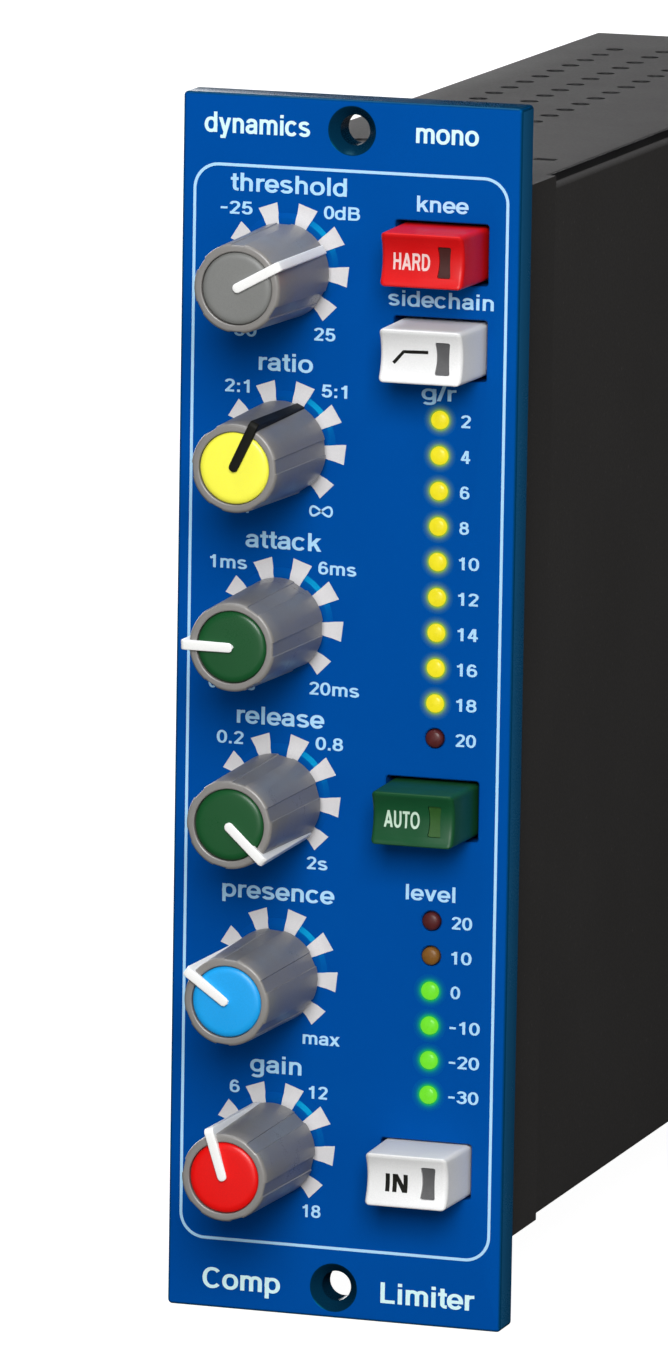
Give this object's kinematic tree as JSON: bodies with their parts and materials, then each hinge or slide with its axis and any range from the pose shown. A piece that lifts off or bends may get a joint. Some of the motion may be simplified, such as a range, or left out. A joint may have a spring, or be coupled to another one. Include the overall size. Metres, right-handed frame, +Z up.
{
  "type": "rack compressor",
  "caption": "Narrow rack compressor module: blue front panel with rotary knobs, push buttons and lamp columns on a vented black case with an edge connector.",
  "frame": {"origin": "the mount on the rear face of the front panel's lower ear, on the panel's centre line, 59.6 mm below the panel's centre", "axes": "+X to the right seen from the front, +Y from the panel back along the case, +Z up"},
  "size_m": [0.0382, 0.1778, 0.1334],
  "materials": {
    "panel_paint": "satin blue enamel with white print",
    "case_paint": "fine-textured black powder coat",
    "knob_plastic": "smooth mid-grey moulded plastic",
    "cap_grey": "grey moulded plastic",
    "cap_yellow": "bright yellow moulded plastic",
    "cap_green": "dark green moulded plastic",
    "cap_blue": "sky blue moulded plastic",
    "cap_red": "red moulded plastic",
    "pointer_white": "white moulded plastic",
    "pointer_black": "black moulded plastic",
    "shaft_metal": "turned metal",
    "potentiometer_body": "moulded plastic with a metal mounting frame",
    "button_red": "red moulded plastic",
    "button_white": "white moulded plastic",
    "button_green": "dark green moulded plastic",
    "window_red": "dark red translucent light window",
    "window_pale": "smoky translucent light window",
    "window_green": "dark green translucent light window",
    "plunger_plastic": "white moulded plastic",
    "black_plastic": "black moulded plastic",
    "lamp_yellow": "clear tinted lens, lit from behind",
    "lamp_green": "clear tinted lens, lit from behind",
    "circuit_board": "glass-epoxy board with solder mask and gold-plated edge fingers",
    "capacitor_sleeve": "printed plastic sleeve over an aluminium can",
    "black_screw": "black oxide",
    "steel_screw": "zinc-plated steel"
  },
  "bodies": {
    "housing": {"front_panel": "panel_paint", "chassis": "case_paint", "side_cover": "case_paint", "control_board": "circuit_board", "main_board": "circuit_board", "board_header": "black_plastic", "capacitor_upper": "capacitor_sleeve", "capacitor_lower": "capacitor_sleeve", "cover_screw_upper": "black_screw", "cover_screw_lower": "black_screw", "panel_screw_upper": "steel_screw", "panel_screw_lower": "steel_screw", "potentiometer_threshold": "potentiometer_body", "potentiometer_ratio": "potentiometer_body", "potentiometer_attack": "potentiometer_body", "potentiometer_release": "potentiometer_body", "potentiometer_presence": "potentiometer_body", "potentiometer_gain": "potentiometer_body", "switch_knee": "black_plastic", "switch_sidechain": "black_plastic", "switch_auto": "black_plastic", "switch_in": "black_plastic", "lamps_gain_reduction": "lamp_yellow", "lamps_level": "lamp_green"},
    "threshold_knob": {"knob_threshold": "knob_plastic", "knob_cap_threshold": "cap_grey", "knob_pointer_threshold": "pointer_white", "knob_shaft_threshold": "shaft_metal"},
    "ratio_knob": {"knob_ratio": "knob_plastic", "knob_cap_ratio": "cap_yellow", "knob_pointer_ratio": "pointer_black", "knob_shaft_ratio": "shaft_metal"},
    "attack_knob": {"knob_attack": "knob_plastic", "knob_cap_attack": "cap_green", "knob_pointer_attack": "pointer_white", "knob_shaft_attack": "shaft_metal"},
    "release_knob": {"knob_release": "knob_plastic", "knob_cap_release": "cap_green", "knob_pointer_release": "pointer_white", "knob_shaft_release": "shaft_metal"},
    "presence_knob": {"knob_presence": "knob_plastic", "knob_cap_presence": "cap_blue", "knob_pointer_presence": "pointer_white", "knob_shaft_presence": "shaft_metal"},
    "gain_knob": {"knob_gain": "knob_plastic", "knob_cap_gain": "cap_red", "knob_pointer_gain": "pointer_white", "knob_shaft_gain": "shaft_metal"},
    "knee_button": {"button_knee": "button_red", "button_window_knee": "window_red", "switch_plunger_knee": "plunger_plastic"},
    "sidechain_button": {"button_sidechain": "button_white", "button_window_sidechain": "window_pale", "switch_plunger_sidechain": "plunger_plastic"},
    "auto_button": {"button_auto": "button_green", "button_window_auto": "window_green", "switch_plunger_auto": "plunger_plastic"},
    "in_button": {"button_in": "button_white", "button_window_in": "window_pale", "switch_plunger_in": "plunger_plastic"}
  },
  "joints": [
    {"name": "threshold_turn", "type": "hinge", "parent": "housing", "child": "threshold_knob", "pos_m": [-0.007, -0.012, 0.10765], "axis": [0, 1, 0], "range_deg": [-201, 79]},
    {"name": "ratio_turn", "type": "hinge", "parent": "housing", "child": "ratio_knob", "pos_m": [-0.007, -0.012, 0.08841], "axis": [0, 1, 0], "range_deg": [-165, 115]},
    {"name": "attack_turn", "type": "hinge", "parent": "housing", "child": "attack_knob", "pos_m": [-0.007, -0.012, 0.06917], "axis": [0, 1, 0], "range_deg": [-50, 230]},
    {"name": "release_turn", "type": "hinge", "parent": "housing", "child": "release_knob", "pos_m": [-0.007, -0.012, 0.04993], "axis": [0, 1, 0], "range_deg": [-273, 7]},
    {"name": "presence_turn", "type": "hinge", "parent": "housing", "child": "presence_knob", "pos_m": [-0.007, -0.012, 0.03069], "axis": [0, 1, 0], "range_deg": [-85, 195]},
    {"name": "gain_turn", "type": "hinge", "parent": "housing", "child": "gain_knob", "pos_m": [-0.007, -0.012, 0.01145], "axis": [0, 1, 0], "range_deg": [-122, 158]},
    {"name": "knee_press", "type": "slide", "parent": "housing", "child": "knee_button", "axis": [0, 1, 0], "range_m": [0, 0.002], "stiffness_N_per_m": 600, "springref_m": -0.002},
    {"name": "sidechain_press", "type": "slide", "parent": "housing", "child": "sidechain_button", "axis": [0, 1, 0], "range_m": [0, 0.002], "stiffness_N_per_m": 600, "springref_m": -0.002},
    {"name": "auto_press", "type": "slide", "parent": "housing", "child": "auto_button", "axis": [0, 1, 0], "range_m": [0, 0.002], "stiffness_N_per_m": 600, "springref_m": -0.002},
    {"name": "in_press", "type": "slide", "parent": "housing", "child": "in_button", "axis": [0, 1, 0], "range_m": [0, 0.002], "stiffness_N_per_m": 600, "springref_m": -0.002}
  ]
}
